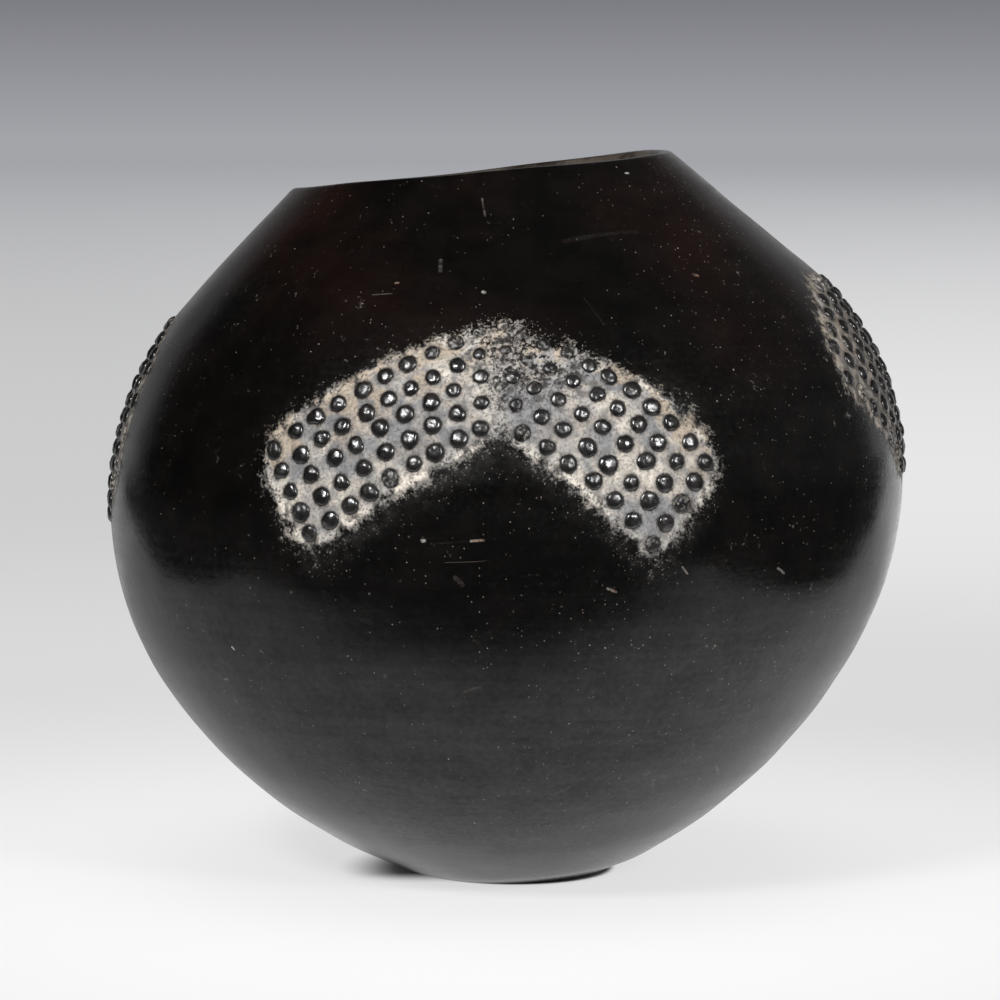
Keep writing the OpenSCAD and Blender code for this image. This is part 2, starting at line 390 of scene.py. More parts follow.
def inner_surface(s, psi):
    r, h = inner_profile(s)
    a = wall_angle(s, INNER_ARC_R)
    points = turned(r, h, psi)
    out = BODY_UNEVEN * BODY_WAVES.at(points) + FINGER_UNEVEN * FINGER_WAVES.at(points)
    out = out * smooth_step(RIM_S, RIM_S - FOOT_FADE, s)
    return on_floor(turned(r + out * np.cos(a), h + out * np.sin(a) + rim_lift(s, psi), psi))


def lip_surface(turn, psi):
    """Round lip from the outer surface, at turn 0, to the inner surface, at turn pi."""
    r, h = outer_profile(np.full_like(psi, RIM_S))
    a = SHOULDER_SLOPE
    bulge = outer_bulge(RIM_S, turned(r, h, psi)) * (1 + np.cos(turn)) / 2
    out = bulge - WALL / 2 + WALL / 2 * np.cos(turn)
    up = WALL / 2 * np.sin(turn)
    r = r + out * math.cos(a) - up * math.sin(a)
    h = h + out * math.sin(a) + up * math.cos(a)
    return on_floor(turned(r, h + rim_lift(RIM_S, psi), psi))


def foot_edge_s(psi):
    """Surface height at which the leaning wall meets the floor."""
    low = np.full_like(psi, FOOT_S - BASE_RISE / 2)
    high = np.full_like(psi, FOOT_S + BASE_RISE / 2)
    for _ in range(FOOT_HALVINGS):
        middle = (low + high) / 2
        r, h = outer_profile(middle)
        above = stand(turned(r, h, psi))[..., 2] > 0
        high = np.where(above, middle, high)
        low = np.where(above, low, middle)
    return high


def joint_inner_s(i):
    """Where joint i, which falls inward across the wall, meets the inner surface."""
    s = np.array(BASE_S + i * COIL_L)
    a = wall_angle(s)
    start = np.array(outer_profile(s))
    inward = np.array([
        -np.cos(a) * math.cos(JOINT_SLOPE) + np.sin(a) * math.sin(JOINT_SLOPE),
        -np.sin(a) * math.cos(JOINT_SLOPE) - np.cos(a) * math.sin(JOINT_SLOPE),
    ])
    below = np.linspace(s - 2 * WALL, s, JOINT_SAMPLES)
    r, h = inner_profile(below)
    side = inward[0] * (h - start[1]) - inward[1] * (r - start[0])
    return float(below[np.argmin(np.abs(side))])


# Rows of the whole skin, from the foot's edge up the outside, over the lip and down the inside

def build_skin():
    """Points of the skin as rows by columns, and the rows at which the joints lie outside and inside."""
    psi = np.arange(AROUND) * 2 * math.pi / AROUND
    edge = foot_edge_s(psi)
    rows, heights, outer_joints, inner_joints = [], [], [], []
    for t in np.linspace(0, 1, FOOT_ROWS, endpoint=False):
        heights.append(edge + t * (BASE_S - edge))
    for i in range(len(COILS)):
        outer_joints.append(len(heights))
        for t in np.linspace(0, 1, ROWS_PER_COIL, endpoint=False):
            heights.append(np.full(AROUND, BASE_S + (i + t) * COIL_L))
    heights.append(np.full(AROUND, RIM_S))
    outer_rows = len(heights)
    heights = np.array(heights)
    rows.append(outer_surface(heights, np.broadcast_to(psi, heights.shape)))
    for turn in np.linspace(0, math.pi, LIP_ROWS + 2)[1:-1]:
        rows.append(lip_surface(turn, psi)[None])
    joints = [joint_inner_s(i) for i in range(len(COILS))] + [RIM_S]
    inner = []
    for i in reversed(range(len(COILS))):
        inner += list(np.linspace(joints[i + 1], joints[i], INNER_ROWS_PER_COIL, endpoint=False))
        inner_joints.insert(0, outer_rows + LIP_ROWS + len(inner))
    inner += list(np.linspace(joints[0], AXIS_S, BOTTOM_ROWS, endpoint=False))
    inner = np.repeat(np.array(inner)[:, None], AROUND, 1)
    rows.append(inner_surface(inner, np.broadcast_to(psi, inner.shape)))
    return np.concatenate(rows), heights, outer_joints, inner_joints


def grid_normals(points):
    """Outward normals of the skin, from the neighbours along and across its rows."""
    round_pot = np.roll(points, -1, 1) - np.roll(points, 1, 1)
    normals = np.cross(round_pot, np.gradient(points, axis=0))
    return normals / np.linalg.norm(normals, axis=-1, keepdims=True)


# Pellet places, read from the solids

def pellet_places(node):
    """Surface height, angle round the pot and radius of each pellet in a node."""
    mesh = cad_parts[node].data
    co = np.empty(len(mesh.vertices) * 3)
    mesh.vertices.foreach_get("co", co)
    co = co.reshape(-1, 3)
    _, same = np.unique(np.round(co, SAME_POINT_DECIMALS), axis=0, return_inverse=True)
    same = same.ravel()
    edges = np.empty(len(mesh.edges) * 2, int)
    mesh.edges.foreach_get("vertices", edges)
    edges = same[edges].reshape(-1, 2)
    label = np.arange(same.max() + 1)
    while True:
        lowest = label.copy()
        np.minimum.at(lowest, edges[:, 0], label[edges[:, 1]])
        np.minimum.at(lowest, edges[:, 1], label[edges[:, 0]])
        lowest = lowest[lowest]
        if (lowest == label).all():
            break
        label = lowest
    label = label[same]
    grid = np.linspace(FOOT_S, RIM_S, PROFILE_SAMPLES)
    grid_r, grid_h = outer_profile(grid)
    places = []
    for one in np.unique(label):
        own = unstand(co[label == one])
        middle = (own.min(0) + own.max(0)) / 2
        r = math.hypot(middle[0], middle[1])
        s = grid[np.argmin((grid_r - r) ** 2 + (grid_h - middle[2]) ** 2)]
        radius = np.linalg.norm(own - own.mean(0), axis=1).max()
        places.append((s, math.atan2(middle[0], -middle[1]), radius))
    return np.array(places)


# Meshes

def make_piece(name, points, faces, normals, marks, material, node):
    """Mesh object with a normal for each face corner and named numbers on its points."""
    mesh = bpy.data.meshes.new(name)
    mesh.from_pydata(points.tolist(), [], faces)
    mesh.polygons.foreach_set("use_smooth", [True] * len(mesh.polygons))
    if normals is not None:
        mesh.normals_split_custom_set(normals)
    for mark, values in marks.items():
        attribute = mesh.attributes.new(mark, "FLOAT", "POINT")
        attribute.data.foreach_set("value", np.asarray(values, np.float32))
    mesh.materials.append(material)
    piece = bpy.data.objects.new(name, mesh)
    bpy.context.scene.collection.objects.link(piece)
    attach(piece, "root")
    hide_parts(node)


class RingMesh:
    """Faces between rows of points that go round the pot."""

    def __init__(self):
        self.points, self.faces, self.normals = [], [], []
        self.marks = {name: [] for name in SKIN_MARKS}
        self.count = 0

    def row(self, points, marks):
        """Adds a row of points with its marks, which are 0 where none is given, and returns its start."""
        start = self.count
        for name, part in self.marks.items():
            part.append(np.broadcast_to(marks.get(name, 0), len(points)))
        self.points.append(points)
        self.count += len(points)
        return start

    def strip(self, low, high, low_normals, high_normals):
        """Quads from the row that starts at low to the row that starts at high."""
        for j in range(AROUND):
            k = (j + 1) % AROUND
            self.faces.append((low + j, low + k, high + k, high + j))
            self.normals += [low_normals[j], low_normals[k], high_normals[k], high_normals[j]]

    def fan(self, row, pole, row_normals, pole_normal, upward):
        """Triangles from a row to a single point."""
        for j in range(AROUND):
            k = (j + 1) % AROUND
            if upward:
                self.faces.append((row + j, row + k, pole))
                self.normals += [row_normals[j], row_normals[k], pole_normal]
            else:
                self.faces.append((row + k, row + j, pole))
                self.normals += [row_normals[k], row_normals[j], pole_normal]


def flat_normals(low, high):
    """Normals of the strip between two rows."""
    normals = np.cross(np.roll(low, -1, 0) - low, high - low)
    return normals / np.linalg.norm(normals, axis=1, keepdims=True)


class Skin:
    """The pot's whole skin, cut into the base pad and the coils."""

    def __init__(self, pellets, worn):
        self.points, self.heights, self.outer_joints, self.inner_joints = build_skin()
        self.normals = grid_normals(self.points)
        rows, outer = len(self.points), len(self.heights)
        psi = np.broadcast_to(np.arange(AROUND) * 2 * math.pi / AROUND, self.heights.shape)
        self.marks = {name: np.zeros((rows, AROUND)) for name in SKIN_MARKS}
        self.marks["dust"][:outer], self.marks["haze"][:outer] = panel_dust(self.heights, psi, pellets)
        self.marks["wear"][:outer] = panel_wear(self.heights, psi, worn)
        self.marks["inside"][outer:] = smooth_step(outer, outer + LIP_ROWS, np.arange(outer, rows))[:, None]

    def add_rows(self, ring, low, high):
        """Adds the skin's rows from low to high, with the strips between them, and returns their starts."""
        starts = []
        for k in range(low, high + 1):
            starts.append(ring.row(self.points[k], {name: mark[k] for name, mark in self.marks.items()}))
        for n, k in enumerate(range(low, high)):
            ring.strip(starts[n], starts[n + 1], self.normals[k], self.normals[k + 1])
        return starts

    def join(self, ring, low, high, low_row, high_row):
        """Adds a coil joint's sloping face."""
        flat = flat_normals(self.points[low_row], self.points[high_row])
        ring.strip(low, high, flat, flat)

    def coil(self, i):
        ring = RingMesh()
        outer_low, inner_low = self.outer_joints[i], self.inner_joints[i]
        if i == len(COILS) - 1:
            starts = self.add_rows(ring, outer_low, inner_low)
            self.join(ring, starts[-1], starts[0], inner_low, outer_low)
            return ring
        outer_high, inner_high = self.outer_joints[i + 1], self.inner_joints[i + 1]
        outside = self.add_rows(ring, outer_low, outer_high)
        inside = self.add_rows(ring, inner_high, inner_low)
        self.join(ring, outside[-1], inside[0], outer_high, inner_high)
        self.join(ring, inside[-1], outside[0], inner_low, outer_low)
        return ring

    def base_pad(self):
        ring = RingMesh()
        edge = self.points[0]
        middle = edge.mean(0)
        down = np.tile((0.0, 0.0, -1.0), (AROUND, 1))
        pole = ring.row(middle[None], {})
        starts = [ring.row(middle + share * (edge - middle), {}) for share in FOOT_RINGS]
        outside = self.add_rows(ring, 0, self.outer_joints[0])
        starts.append(outside[0])
        ring.fan(starts[0], pole, down, down[0], False)
        for low, high in zip(starts, starts[1:]):
            ring.strip(low, high, down, down)
        last = len(self.points) - 1
        inside = self.add_rows(ring, self.inner_joints[0], last)
        self.join(ring, outside[-1], inside[0], self.outer_joints[0], self.inner_joints[0])
        axis = ring.row(inner_surface(np.array([AXIS_S]), np.array([0.0])), {"inside": 1})
        ring.fan(inside[-1], axis, self.normals[last], (0.0, 0.0, 1.0), True)
        return ring


def across_and_up(s, psi, place_s, place_psi):
    """Surface distances from a place on the wall."""
    turn = (psi - place_psi + math.pi) % (2 * math.pi) - math.pi
    return outer_profile(s)[0] * turn, s - place_s


def panel_dust(s, psi, pellets):
    """Share of dust on the panels' ground, and the haze that spreads below and round them."""
    dust, haze = np.zeros(s.shape), np.zeros(s.shape)
    for place_s, place_psi, _ in pellets:
        across, up = across_and_up(s, psi, place_s, place_psi)
        dust += np.exp(-(across ** 2 + up ** 2) / (2 * DUST_REACH ** 2))
        reach = np.where(up > 0, DUST_REACH, HAZE_REACH)
        haze += np.exp(-(across / HAZE_ACROSS) ** 2 / 2 - (up / reach) ** 2 / 2)
    return dust, haze


def panel_wear(s, psi, worn):
    """Wear of the panels about the worn places."""
    wear = np.zeros(s.shape)
    for place_s, place_psi in worn:
        across, up = across_and_up(s, psi, place_s, place_psi)
        wear += np.exp(-(across ** 2 + up ** 2) / (2 * WEAR_REACH ** 2))
    return wear


def worn_places(places):
    """Places just beside the peaks of the chevrons."""
    worn = []
    for side in ("front", "back"):
        both = np.concatenate([places[f"{side}_left_arm_pellets"], places[f"{side}_right_arm_pellets"]])
        top = both[np.argmax(both[:, 0])]
        worn.append((top[0] - WEAR_BELOW, top[1] + WEAR_ASIDE / BELLY_R))
    return worn


def pellet_grime(places, pellets, worn, rng):
    """Share of dust on each pellet, most at the panels' edges and worn places, and its wear."""
    s, psi = places[:, 0], places[:, 1]
    dust, _ = panel_dust(s, psi, pellets)
    outer = smooth_step(*EDGE_DUST, dust)
    wear = np.minimum(panel_wear(s, psi, worn), 1)
    grime = rng.uniform(*PLAIN_GRIME, len(places)) + outer * rng.uniform(*EDGE_GRIME, len(places))
    return grime + WORN_GRIME * wear, wear


def pellet_faces(count, own):
    """Faces of the domes, each with its own number of points: a tip, rings down the dome and a seat."""
    faces = []
    for first in range(0, count * own, own):
        last = first + 1 + (PELLET_RINGS - 1) * PELLET_SEGMENTS
        for j in range(PELLET_SEGMENTS):
            k = (j + 1) % PELLET_SEGMENTS
            faces.append((first, first + 1 + k, first + 1 + j))
            for low in range(first + 1, last, PELLET_SEGMENTS):
                high = low + PELLET_SEGMENTS
                faces.append((low + j, low + k, high + k, high + j))
            faces.append((last + j, last + k, first + own - 1))
    return faces


def pellet_mesh(places, pellets, worn, seed, extra_grime):
    """Domes pressed onto the wall, each a little off round, with the share of its height on every point."""
    rng = np.random.default_rng(seed)
    count = len(places)
    place_s, place_psi, place_r = places.T
    ring = np.linspace(0, 1, PELLET_RINGS + 1)[1:]
    theta = np.arange(PELLET_SEGMENTS) * 2 * math.pi / PELLET_SEGMENTS
    grime, wear = pellet_grime(places, pellets, worn, rng)
    radius = (place_r * rng.uniform(*PELLET_WIDTHS, count) * (1 - WORN_WIDTH * wear))[:, None, None]
    lobes = 0
    for order, size in PELLET_LOBES:
        amount = rng.normal(0, size, count)[:, None, None]
        phase = rng.uniform(*LOBE_PHASES, count)[:, None, None]
        lobes = lobes + amount * np.cos(order * theta + phase)
    steps = np.sin(ring * math.pi / 2)[None, :, None]
    rho = radius * (1 + lobes * steps) * steps
    height = (PELLET_H * rng.uniform(*PELLET_HEIGHTS, count) * (1 - WORN_HEIGHT * wear))[:, None, None]
    rise = (1 - steps ** PELLET_FULLNESS) ** PELLET_ROUNDNESS
    tip = rng.normal(0, PELLET_TIP, (2, count))[:, :, None, None] * radius
    s = place_s[:, None, None] + rho * np.cos(theta) + tip[0] * rise
    across = rho * np.sin(theta) + tip[1] * rise
    psi = place_psi[:, None, None] + across / outer_profile(s)[0]
    bumps = PELLET_WAVES.at(np.stack([s, across, psi * BELLY_R], -1)) * PELLET_UNEVEN
    lift = height * rise + bumps * rise ** 0.5 - PELLET_SEAT * (rise == 0)
    walls = outer_surface(s, psi, lift)
    tip_s, tip_psi = place_s + tip[0, :, 0, 0], place_psi + tip[1, :, 0, 0] / BELLY_R
    tips = outer_surface(tip_s, tip_psi, height[:, 0, 0])
    seats = outer_surface(place_s, place_psi, np.full(count, -PELLET_SEAT))
    points = np.concatenate([tips[:, None], walls.reshape(count, -1, 3), seats[:, None]], 1)
    rises = np.broadcast_to(rise, (count, PELLET_RINGS, PELLET_SEGMENTS)).reshape(count, -1)
    rises = np.concatenate([np.ones((count, 1)), rises, np.zeros((count, 1))], 1)
    own = points.shape[1]
    marks = {"rise": rises.ravel(), "grime": np.repeat(grime + extra_grime, own)}
    return points.reshape(-1, 3), pellet_faces(count, own), marks


# Materials

class Shader:
    """Short calls that add nodes to one material or world and link them."""

    def __init__(self, tree):
        self.tree = tree
        tree.nodes.clear()

    def add(self, kind, settings=None, **inputs):
        node = self.tree.nodes.new(kind)
        for name, value in (settings or {}).items():
            setattr(node, name, value)
        for name, value in inputs.items():
            self.put(node.inputs[name.replace("_", " ")], value)
        return node

    def put(self, socket, value):
        if isinstance(value, bpy.types.NodeSocket):
            self.tree.links.new(value, socket)
        else:
            socket.default_value = value

    def put_all(self, sockets, values):
        for socket, value in zip(sockets, values):
            self.put(socket, value)

    def coords(self, scale=(1, 1, 1), turn=0.0):
        """The object's own coordinates, stretched, and leaning with the pot."""
        place = self.add("ShaderNodeTexCoord").outputs["Object"]
        return self.add(
            "ShaderNodeMapping", {"vector_type": "POINT"},
            Vector=place, Rotation=(0, turn, 0), Scale=scale,
        ).outputs["Vector"]

    def parts(self, vector):
        return self.add("ShaderNodeSeparateXYZ", Vector=vector).outputs

    def noise(self, vector, scale, detail=2.0, roughness=0.5, distortion=0.0):
        return self.add(
            "ShaderNodeTexNoise", Vector=vector, Scale=scale, Detail=detail,
            Roughness=roughness, Distortion=distortion,
        ).outputs["Fac"]

    def ramp(self, value, low, high, start=0.0, end=1.0, kind="SMOOTHSTEP"):
        node = self.add("ShaderNodeMapRange", {"interpolation_type": kind})
        names = ("Value", "From Min", "From Max", "To Min", "To Max")
        self.put_all([node.inputs[name] for name in names], (value, low, high, start, end))
        return node.outputs["Result"]

    def math(self, operation, *values):
        node = self.add("ShaderNodeMath", {"operation": operation})
        self.put_all(node.inputs, values)
        return node.outputs[0]

    def plus(self, a, b):
        return self.math("ADD", a, b)

    def minus(self, a, b):
        return self.math("SUBTRACT", a, b)

    def times(self, a, b):
        return self.math("MULTIPLY", a, b)

    def most(self, a, b):
        return self.math("MAXIMUM", a, b)

    def swing(self, noise, size):
        """The noise about its middle value, times a size."""
        return self.times(self.minus(noise, 0.5), size)

    def vector(self, operation, *values):
        node = self.add("ShaderNodeVectorMath", {"operation": operation})
        self.put_all(node.inputs, values)
        return node.outputs

    def mix(self, share, a, b):
        node = self.add("ShaderNodeMix", {"data_type": "RGBA"})
        colours = [socket for socket in node.inputs if socket.type == "RGBA"]
        self.put_all([node.inputs[0], *colours], (share, a, b))
        return next(socket for socket in node.outputs if socket.type == "RGBA")

    def blend(self, share, a, b):
        node = self.add("ShaderNodeMixShader")
        self.put_all(node.inputs, (share, a, b))
        return node.outputs[0]

    def mark(self, name):
        return self.add("ShaderNodeAttribute", {"attribute_name": name}).outputs["Fac"]

    def bump(self, height, distance, strength):
        return self.add("ShaderNodeBump", Height=height, Distance=distance, Strength=strength).outputs["Normal"]


def new_material(name):
    material = bpy.data.materials.new(name)
    material.use_nodes = True
    return material, Shader(material.node_tree)


def specks(sh, vector, scale, size, share):
    """Dots in a random share of the cells of a grid."""
    out = sh.add("ShaderNodeTexVoronoi", {"feature": "F1"}, Vector=vector, Scale=scale).outputs
    draw = sh.add("ShaderNodeSeparateColor", Color=out["Color"]).outputs[0]
    return sh.times(sh.ramp(out["Distance"], size, size * 0.5), sh.math("LESS_THAN", draw, share))


def scratches(sh, scale, width, stretch, turn, share):
    """Broken thin lines along one direction."""
    lines = sh.noise(sh.coords(stretch, turn), scale, 1.0, 0.4, 0.3)
    thin = sh.ramp(sh.math("ABSOLUTE", sh.minus(lines, 0.5)), width, width * 0.3)
    part = sh.ramp(sh.noise(sh.coords(), 28.0, 2.0), 1 - share, 1 - share + 0.05)
    return sh.times(thin, part)


def stroke(sh, place, start, end, width):
    """Thin line on the outer surface between two places, each a surface height and degrees round the pot."""
    a, b = (outer_surface(np.array(s), np.array(math.radians(psi))) for s, psi in (start, end))
    along = b - a
    offset = sh.vector("SUBTRACT", place, a.tolist())["Vector"]
    share = sh.vector("DOT_PRODUCT", offset, (along / (along @ along)).tolist())["Value"]
    share = sh.add("ShaderNodeClamp", Value=share).outputs["Result"]
    nearest = sh.add("ShaderNodeVectorMath", {"operation": "SCALE"}, Vector=along.tolist(), Scale=share)
    apart = sh.vector("DISTANCE", offset, nearest.outputs["Vector"])["Value"]
    return sh.ramp(apart, width, width * 0.4)


def dust_colour(sh, place, tan, grey):
    """Ash-white dust, tanner and greyer by the given shares."""
    patch = sh.noise(place, 70.0, 3.0, 0.6)
    ash = sh.mix(sh.ramp(patch, 0.42, 0.62), DULL_ASH, BRIGHT_ASH)
    return sh.mix(tan, sh.mix(grey, ash, GREY_DUST), TAN_DUST)


class Clay:
    """The wall's clay and dust: its noises, the skin's marks and the layers that are built of them."""

    def __init__(self, sh):
        self.sh = sh
        self.place = sh.coords()
        parts = sh.parts(self.place)
        self.height = parts["Z"]
        self.rightward = parts["X"]
        self.dust, self.haze, self.wear, self.inside = (sh.mark(name) for name in SKIN_MARKS)
        self.broad = sh.noise(self.place, 11.0, 4.0, 0.55)
        self.middle = sh.noise(self.place, 70.0, 4.0, 0.6)
        self.clump = sh.noise(self.place, 260.0, 3.0, 0.6)
        self.fine = sh.noise(self.place, 480.0, 3.0, 0.6)
        self.grain = sh.noise(self.place, 900.0, 4.0, 0.7)
        self.streak = sh.noise(sh.coords((9, 9, 330), LEAN), 1.0, 3.0, 0.6)
        self.edge = sh.ramp(self.dust, 1.9, 1.0)
        self.spotty = sh.most(self.edge, self.wear)
        self.side = sh.ramp(sh.math("ABSOLUTE", self.rightward), 0.095, 0.125)

    def black(self):
        """Colour of the burnished clay, with reddish clouds toward the mouth and the foot."""
        sh = self.sh
        zones = sh.plus(sh.ramp(self.height, 0.17, 0.25, 0.0, 0.5), sh.ramp(self.height, 0.03, 0.0, 0.0, 0.8))
        red = sh.times(sh.ramp(self.broad, 0.42, 0.62), zones)
        return sh.mix(red, sh.mix(sh.ramp(self.middle, 0.35, 0.7), BLACK_CLAY, BROWN_CLAY), RED_CLAY)

    def scuffs(self):
        """Share of specks, fine scratches and single marks, which bare the paler clay."""
        sh = self.sh
        crowd = sh.times(
            sh.ramp(self.broad, 0.36, 0.62, 0.2, 1.0), sh.ramp(self.rightward, -0.1, 0.09, 0.45, 1.0),
        )
        dots = sh.most(
            specks(sh, self.place, 330.0, 0.13, sh.times(crowd, 0.05)),
            specks(sh, self.place, 760.0, 0.20, sh.times(crowd, 0.24)),
        )
        lines = scratches(sh, 1.0, 0.006, (14, 14, 130), LEAN, 0.30)
        scuffs = sh.most(sh.times(dots, sh.ramp(self.fine, 0.35, 0.65, 0.1, 0.9)), sh.times(lines, 0.3))
        for start, end, width, strength in STROKES:
            line = stroke(sh, self.place, start, end, width)
            scuffs = sh.most(scuffs, sh.times(line, sh.ramp(self.grain, 0.3, 0.6, 0.0, strength)))
        return scuffs

    def scuff_colour(self):
        return self.sh.mix(self.sh.ramp(self.middle, 0.4, 0.6), TAN_SCUFF, GREY_SCUFF)

    def panels(self):
        """Cover of dust on the panels, ragged at the edges, pitted, and crumbling where it is worn."""
        sh = self.sh
        ragged = sh.plus(sh.swing(self.middle, 1.4), sh.swing(self.clump, 1.9))
        ragged = sh.plus(ragged, sh.swing(self.grain, 1.9))
        bare = sh.plus(sh.ramp(self.middle, 0.42, 0.56, 0.0, 1.2), sh.ramp(self.clump, 0.45, 0.58, 0.0, 1.4))
        cover = sh.minus(sh.plus(self.dust, ragged), sh.times(self.wear, bare))
        pits = sh.times(sh.ramp(self.grain, 0.44, 0.36), sh.ramp(self.spotty, 0.0, 1.0, 0.2, 0.7))
        crumbs = sh.ramp(sh.plus(self.grain, sh.swing(self.clump, 0.7)), 0.50, 0.43, 0.0, 0.85)
        crumbs = sh.times(crumbs, sh.ramp(self.wear, 0.2, 1.0))
        panels = sh.times(sh.ramp(cover, 0.50, 1.30), sh.minus(1.0, pits))
        return sh.times(panels, sh.minus(1.0, crumbs))

    def strewn(self):
        """Cover of single grains of dust round the panels."""
        sh = self.sh
        share = sh.ramp(self.haze, 0.05, 2.4)
        grains = sh.most(
            specks(sh, self.place, 620.0, 0.26, sh.times(share, 0.45)),
            specks(sh, self.place, 1150.0, 0.36, sh.times(share, 0.6)),
        )
        return sh.times(grains, sh.ramp(self.fine, 0.35, 0.65, 0.1, 0.4))

    def film(self):
        """Cover of the thin haze below the panels."""
        sh = self.sh
        below = sh.minus(self.haze, sh.times(self.dust, 0.9))
        return sh.times(sh.ramp(below, 0.3, 1.6), sh.ramp(self.clump, 0.35, 0.65, 0.1, 0.7))

    def powder(self):
        """Colour of the dust, which is sooty in patches and brown at the sides, with painted shade beside the
        pellets.
        """
        sh = self.sh
        upper = sh.ramp(sh.math("DIVIDE", self.haze, sh.most(self.dust, 0.01)), 1.8, 1.3)
        tan = sh.times(upper, sh.ramp(sh.noise(self.place, 130.0, 3.0, 0.6), 0.46, 0.60, 0.0, 0.9))
        clouds = sh.ramp(sh.noise(self.place, 60.0, 3.0, 0.55, 0.3), 0.45, 0.60)
        grey = sh.most(sh.times(sh.minus(1.0, self.edge), clouds), sh.times(self.wear, 0.4))
        soot = sh.times(sh.ramp(self.clump, 0.56, 0.38), sh.ramp(self.spotty, 0.0, 1.0, 0.35, 0.85))
        soot = sh.most(soot, sh.times(sh.ramp(self.grain, 0.57, 0.38), 0.5))
        soot = sh.most(soot, sh.ramp(self.dust, 1.1, 0.7, 0.0, 0.6))
        soot = sh.most(soot, sh.times(self.side, sh.ramp(self.clump, 0.62, 0.42, 0.25, 0.9)))
        # Painted shade: ambient occlusion darkens the dust close beside the pellets
        painted_shade = sh.add("ShaderNodeAmbientOcclusion", {"samples": 8}, Distance=PAINTED_SHADE_REACH).outputs["AO"]
        painted_shade = sh.plus(painted_shade, sh.swing(self.grain, 0.3))
        powder = dust_colour(sh, self.place, tan, grey)
        powder = sh.mix(sh.times(self.side, 0.5), powder, SIDE_DUST)
        powder = sh.mix(soot, powder, SOOTY_DUST)
        return sh.mix(sh.ramp(painted_shade, 0.97, 0.82), powder, PAINTED_SHADE_DUST)

    def with_inside(self, colour):
        """The given colour, with the raw clay of the inside and the worn crest of the lip."""
        sh = self.sh
        raw = sh.mix(sh.ramp(self.middle, 0.35, 0.65), DARK_RAW, PALE_RAW)
        raw = sh.mix(specks(sh, self.place, 300.0, 0.2, 0.15), raw, RAW_SPECK)
        crest = sh.ramp(sh.math("ABSOLUTE", sh.minus(self.inside, 0.45)), 0.40, 0.10)
        crest = sh.times(crest, sh.ramp(self.middle, 0.38, 0.60, 0.1, 0.8))
        return sh.mix(crest, sh.mix(self.inside, colour, raw), WORN_LIP)

    def roughness(self, panels, dusty):
        sh = self.sh
        gloss = sh.plus(sh.ramp(self.broad, 0.3, 0.7, 0.17, 0.24), sh.ramp(self.streak, 0.3, 0.7, -0.02, 0.03))
        gloss = sh.plus(gloss, sh.ramp(self.fine, 0.3, 0.7, -0.03, 0.04))
        rough = sh.most(sh.ramp(panels, 0.1, 0.5, 0.0, 0.62), sh.times(self.inside, 0.8))
        return sh.most(gloss, sh.most(rough, sh.times(dusty, 0.9)))

    def sheen(self):
        sh = self.sh
        sheen = sh.plus(sh.ramp(self.streak, 0.3, 0.7, 0.45, 0.55), sh.ramp(self.fine, 0.3, 0.7, -0.08, 0.08))
        return sh.plus(sheen, sh.ramp(self.middle, 0.3, 0.7, -0.05, 0.05))

    def relief(self, dusty, scuffs):
        """Normal of the finest relief: burnishing streaks, dust grains and scratches."""
        sh = self.sh
        relief = sh.plus(sh.times(self.streak, 0.3), sh.times(self.fine, 0.8))
        relief = sh.plus(relief, sh.times(sh.times(dusty, self.grain), 2.5))
        return sh.bump(sh.minus(relief, sh.times(scuffs, 0.6)), GRAIN_DEPTH, 0.6)


def clay_material():
    material, sh = new_material("burnished_clay")
    clay = Clay(sh)
    scuffs, panels = clay.scuffs(), clay.panels()
    dusty = sh.most(panels, clay.strewn())
    colour = sh.mix(scuffs, clay.black(), clay.scuff_colour())
    colour = sh.mix(clay.film(), colour, DUST_FILM)
    colour = clay.with_inside(sh.mix(dusty, colour, clay.powder()))
    sh.add("ShaderNodeOutputMaterial", Surface=sh.add(
        "ShaderNodeBsdfPrincipled", Base_Color=colour, Roughness=clay.roughness(panels, dusty),
        Specular_IOR_Level=clay.sheen(), Normal=clay.relief(dusty, scuffs),
    ).outputs["BSDF"])
    return material


def pellet_material():
    material, sh = new_material("pellet_clay")
    place = sh.coords()
    rise, grime = sh.mark("rise"), sh.mark("grime")
    middle = sh.noise(place, 190.0, 3.0, 0.6)
    grain = sh.noise(place, 900.0, 4.0, 0.7)
    black = sh.mix(sh.ramp(middle, 0.35, 0.7), BLACK_PELLET, BROWN_PELLET)
    dusted = sh.plus(sh.ramp(rise, 0.35, 0.0, 0.0, 0.25), sh.times(grime, 0.55))
    dusted = sh.plus(sh.plus(dusted, sh.swing(grain, 1.3)), sh.swing(middle, 0.8))
    dusted = sh.ramp(dusted, 0.42, 0.80, 0.0, 0.8)
    tan = sh.ramp(sh.noise(place, 95.0, 3.0, 0.6), 0.45, 0.65, 0.0, 0.6)
    powder = dust_colour(sh, place, tan, sh.ramp(middle, 0.4, 0.6, 0.0, 0.7))
    powder = sh.mix(sh.ramp(grain, 0.62, 0.40, 0.1, 0.8), powder, SOOTY_PELLET)
    gloss = sh.plus(sh.ramp(middle, 0.3, 0.7, 0.24, 0.31), sh.times(dusted, 0.15))
    gloss = sh.plus(gloss, sh.ramp(grime, 0.35, 0.9, 0.0, 0.1))
    shine = sh.ramp(grime, 0.35, 0.9, 0.8, 0.3)
    sh.add("ShaderNodeOutputMaterial", Surface=sh.add(
        "ShaderNodeBsdfPrincipled", Base_Color=sh.mix(dusted, black, powder), Roughness=gloss, IOR=PELLET_IOR,
        Specular_IOR_Level=shine, Normal=sh.bump(grain, GRAIN_DEPTH, 0.5),
    ).outputs["BSDF"])
    return material


# Stage

